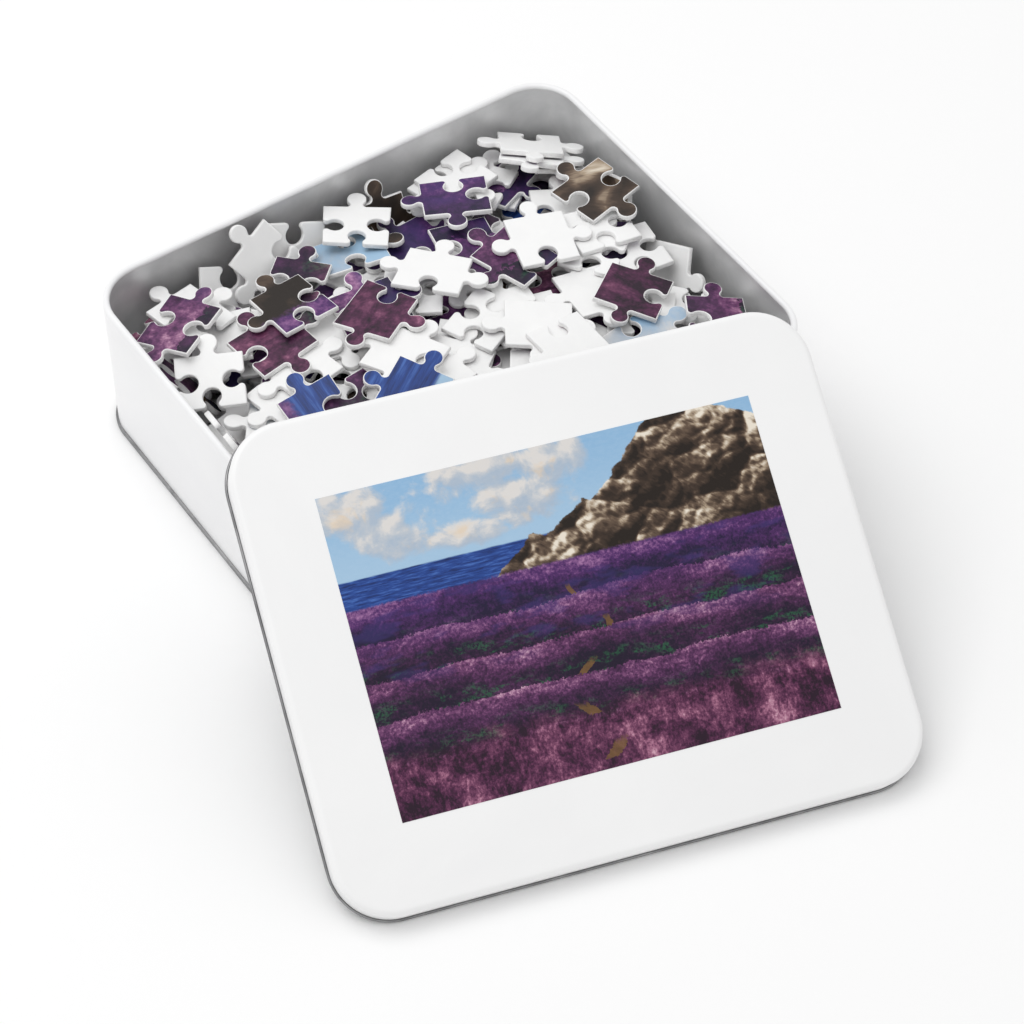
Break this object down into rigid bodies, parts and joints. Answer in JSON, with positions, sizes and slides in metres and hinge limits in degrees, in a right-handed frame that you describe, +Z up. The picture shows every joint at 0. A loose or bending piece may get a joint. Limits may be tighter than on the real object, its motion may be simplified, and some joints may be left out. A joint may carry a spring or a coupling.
{
  "type": "boxed jigsaw puzzle",
  "caption": "Rectangular white metal tin heaped with loose interlocking jigsaw pieces, its shallow printed lid leaning on the near rim.",
  "frame": {"origin": "middle of the tin's foot, on the surface it stands on", "axes": "+X along the tin's long side, +Y from the lid's side to the far side, +Z up"},
  "size_m": [0.2403, 0.2939, 0.0848],
  "materials": {
    "tin_white": "satin white lacquer outside, bare tinplate inside",
    "tin_bare": "bare bright tinplate",
    "lid_white": "satin white lacquer with a fine grain",
    "picture": "printed landscape, satin",
    "puzzle_card": "die-cut card, printed and varnished on the front, plain white on the back"
  },
  "bodies": {
    "tin": {"tin_body": "tin_white", "tin_base": "tin_bare", "heap_layer_01": "puzzle_card", "heap_layer_02": "puzzle_card", "heap_layer_03": "puzzle_card", "heap_layer_04": "puzzle_card", "heap_layer_05": "puzzle_card", "heap_layer_06": "puzzle_card", "heap_layer_07": "puzzle_card", "heap_layer_08": "puzzle_card", "heap_layer_09": "puzzle_card", "heap_layer_10": "puzzle_card", "heap_layer_11": "puzzle_card", "heap_layer_12": "puzzle_card", "heap_layer_13": "puzzle_card", "heap_layer_14": "puzzle_card", "heap_layer_15": "puzzle_card", "heap_layer_16": "puzzle_card", "heap_layer_17": "puzzle_card", "heap_layer_18": "puzzle_card"},
    "lid": {"lid_shell": "lid_white", "lid_print": "picture"},
    "top_piece_01": {"top_piece_01": "puzzle_card"},
    "top_piece_02": {"top_piece_02": "puzzle_card"},
    "top_piece_03": {"top_piece_03": "puzzle_card"},
    "top_piece_04": {"top_piece_04": "puzzle_card"},
    "top_piece_05": {"top_piece_05": "puzzle_card"},
    "top_piece_06": {"top_piece_06": "puzzle_card"},
    "top_piece_07": {"top_piece_07": "puzzle_card"},
    "top_piece_08": {"top_piece_08": "puzzle_card"},
    "top_piece_09": {"top_piece_09": "puzzle_card"},
    "top_piece_10": {"top_piece_10": "puzzle_card"},
    "top_piece_11": {"top_piece_11": "puzzle_card"},
    "top_piece_12": {"top_piece_12": "puzzle_card"},
    "top_piece_13": {"top_piece_13": "puzzle_card"},
    "top_piece_14": {"top_piece_14": "puzzle_card"}
  },
  "joints": [
    {"name": "lid_tilt", "type": "hinge", "parent": "tin", "child": "lid", "pos_m": [-0.0507, -0.1857, 0.0006], "axis": [0.9573, -0.289, 0], "range_deg": [0, 61.9]},
    {"name": "lift_top_piece_01", "type": "slide", "parent": "tin", "child": "top_piece_01", "axis": [0, 0, 1], "range_m": [0, 0.06]},
    {"name": "lift_top_piece_02", "type": "slide", "parent": "tin", "child": "top_piece_02", "axis": [0, 0, 1], "range_m": [0, 0.06]},
    {"name": "lift_top_piece_03", "type": "slide", "parent": "tin", "child": "top_piece_03", "axis": [0, 0, 1], "range_m": [0, 0.06]},
    {"name": "lift_top_piece_04", "type": "slide", "parent": "tin", "child": "top_piece_04", "axis": [0, 0, 1], "range_m": [0, 0.06]},
    {"name": "lift_top_piece_05", "type": "slide", "parent": "tin", "child": "top_piece_05", "axis": [0, 0, 1], "range_m": [0, 0.06]},
    {"name": "lift_top_piece_06", "type": "slide", "parent": "tin", "child": "top_piece_06", "axis": [0, 0, 1], "range_m": [0, 0.06]},
    {"name": "lift_top_piece_07", "type": "slide", "parent": "tin", "child": "top_piece_07", "axis": [0, 0, 1], "range_m": [0, 0.06]},
    {"name": "lift_top_piece_08", "type": "slide", "parent": "tin", "child": "top_piece_08", "axis": [0, 0, 1], "range_m": [0, 0.06]},
    {"name": "lift_top_piece_09", "type": "slide", "parent": "tin", "child": "top_piece_09", "axis": [0, 0, 1], "range_m": [0, 0.06]},
    {"name": "lift_top_piece_10", "type": "slide", "parent": "tin", "child": "top_piece_10", "axis": [0, 0, 1], "range_m": [0, 0.06]},
    {"name": "lift_top_piece_11", "type": "slide", "parent": "tin", "child": "top_piece_11", "axis": [0, 0, 1], "range_m": [0, 0.06]},
    {"name": "lift_top_piece_12", "type": "slide", "parent": "tin", "child": "top_piece_12", "axis": [0, 0, 1], "range_m": [0, 0.06]},
    {"name": "lift_top_piece_13", "type": "slide", "parent": "tin", "child": "top_piece_13", "axis": [0, 0, 1], "range_m": [0, 0.06]},
    {"name": "lift_top_piece_14", "type": "slide", "parent": "tin", "child": "top_piece_14", "axis": [0, 0, 1], "range_m": [0, 0.06]}
  ]
}
